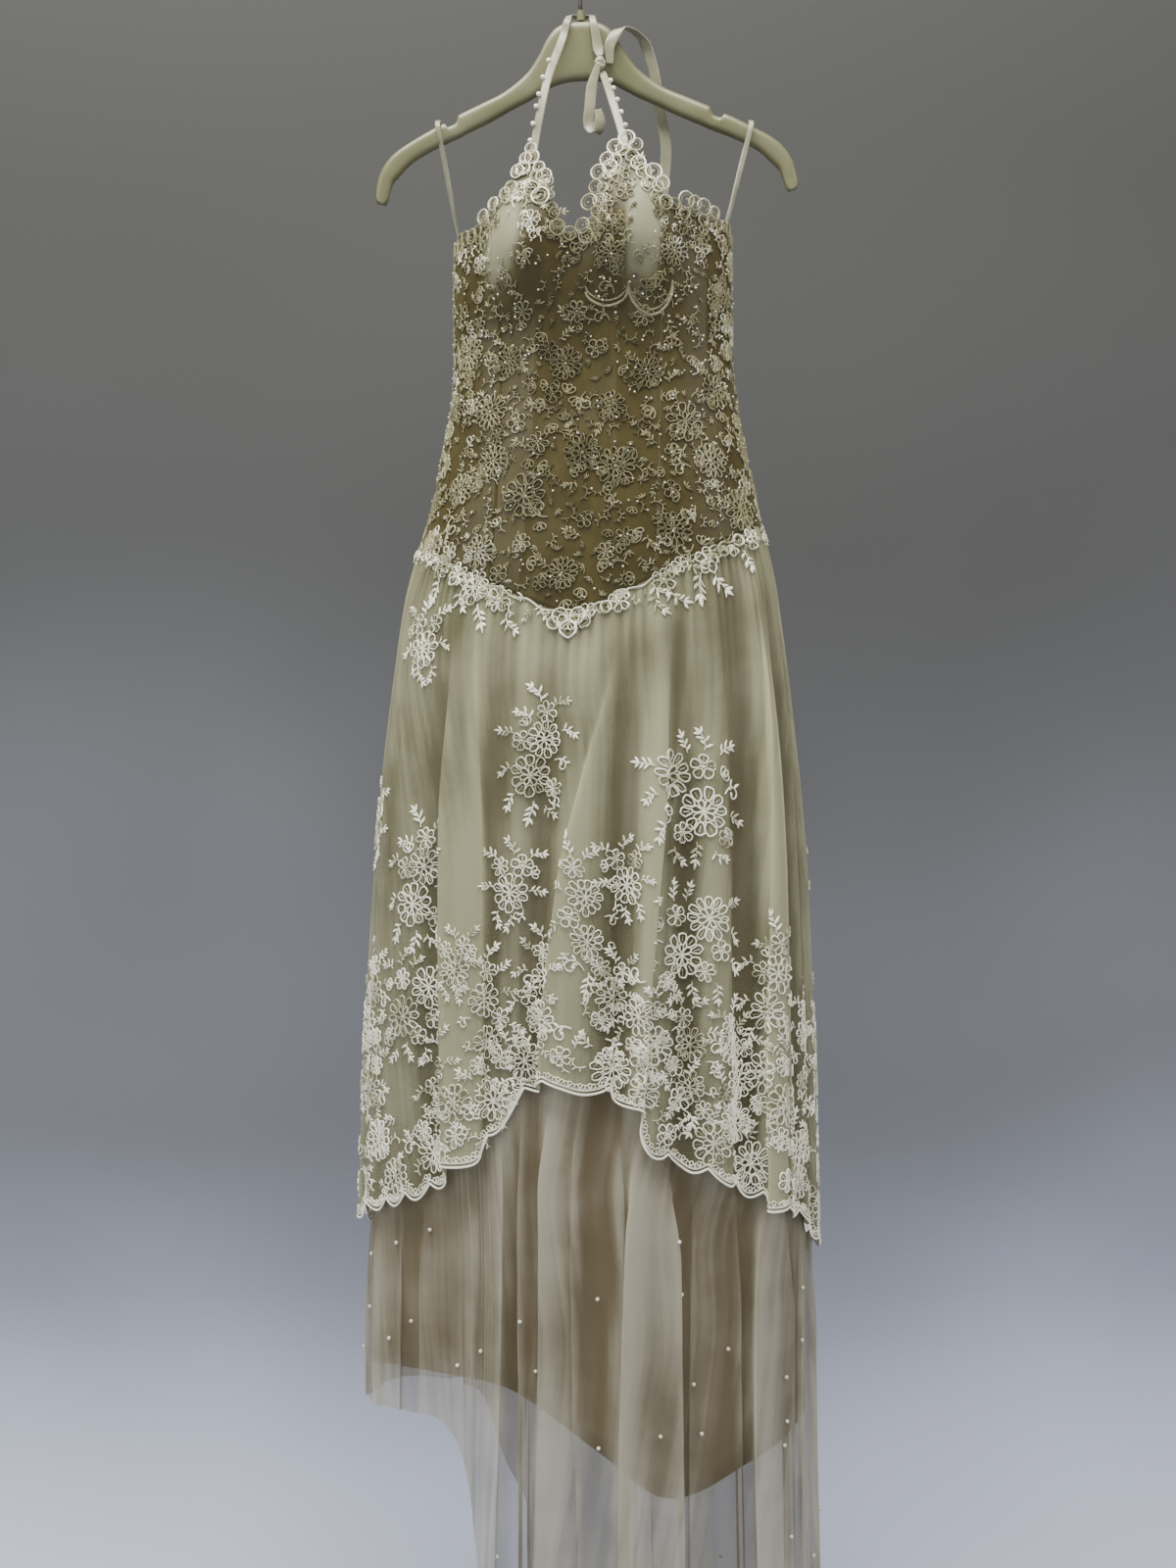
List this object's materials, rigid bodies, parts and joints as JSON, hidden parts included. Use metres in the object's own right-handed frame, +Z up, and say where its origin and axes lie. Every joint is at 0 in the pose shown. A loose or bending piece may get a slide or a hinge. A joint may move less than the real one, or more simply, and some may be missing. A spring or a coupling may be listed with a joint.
{
  "type": "wedding dress on a hanger",
  "caption": "Ivory halter-neck wedding dress with a beaded lace bodice, pointed waist, lace-hemmed tulle overskirt and sheer train, hung on a plastic hanger",
  "frame": {"origin": "seat of the hanger's hook, on the inside of the top of its bow, where the rail touches it", "axes": "+Z up along the hanging dress, -Y the way the front of the dress faces, +X to the right of someone facing its front, along the hanger"},
  "size_m": [0.4686, 0.3139, 1.7693],
  "materials": {
    "bodice_cloth": "satin under lace",
    "tulle": "sheer net",
    "lining_cloth": "matt satin",
    "lace": "corded embroidery",
    "ribbon": "satin",
    "hanger_plastic": "moulded",
    "hook_wire": "drawn wire, darkened"
  },
  "bodies": {
    "root": {"hanger_body": "hanger_plastic", "hanger_collar": "hanger_plastic", "hanger_hook": "hook_wire", "bodice_front": "bodice_cloth", "bodice_side_left": "bodice_cloth", "bodice_side_right": "bodice_cloth", "bodice_back_right": "bodice_cloth", "bodice_back_left": "bodice_cloth", "lining_front": "lining_cloth", "lining_back": "lining_cloth", "underskirt_front": "tulle", "underskirt_back": "tulle", "overskirt_front": "tulle", "overskirt_back": "tulle", "neck_lace_front": "lace", "neck_lace_left": "lace", "neck_lace_right": "lace", "neck_lace_back_right": "lace", "neck_lace_back_left": "lace", "waist_lace_front": "lace", "waist_lace_back": "lace", "hem_lace_front": "lace", "hem_lace_back": "lace", "skirt_spray_1": "lace", "skirt_spray_2": "lace", "skirt_spray_3": "lace", "skirt_spray_4": "lace", "skirt_spray_5": "lace", "skirt_spray_6": "lace", "skirt_spray_7": "lace", "skirt_spray_8": "lace", "skirt_spray_9": "lace", "skirt_spray_10": "lace", "skirt_spray_11": "lace", "skirt_spray_12": "lace", "skirt_spray_13": "lace", "skirt_spray_14": "lace", "skirt_spray_15": "lace", "bodice_spray_1": "lace", "bodice_spray_2": "lace", "bodice_spray_3": "lace", "zip_placket": "bodice_cloth", "halter_strap_left": "ribbon", "halter_strap_right": "ribbon", "tie_loop": "ribbon", "tie_tail": "ribbon", "tie_knot": "ribbon", "hanger_loop_left": "ribbon", "hanger_loop_right": "ribbon"}
  },
  "joints": []
}
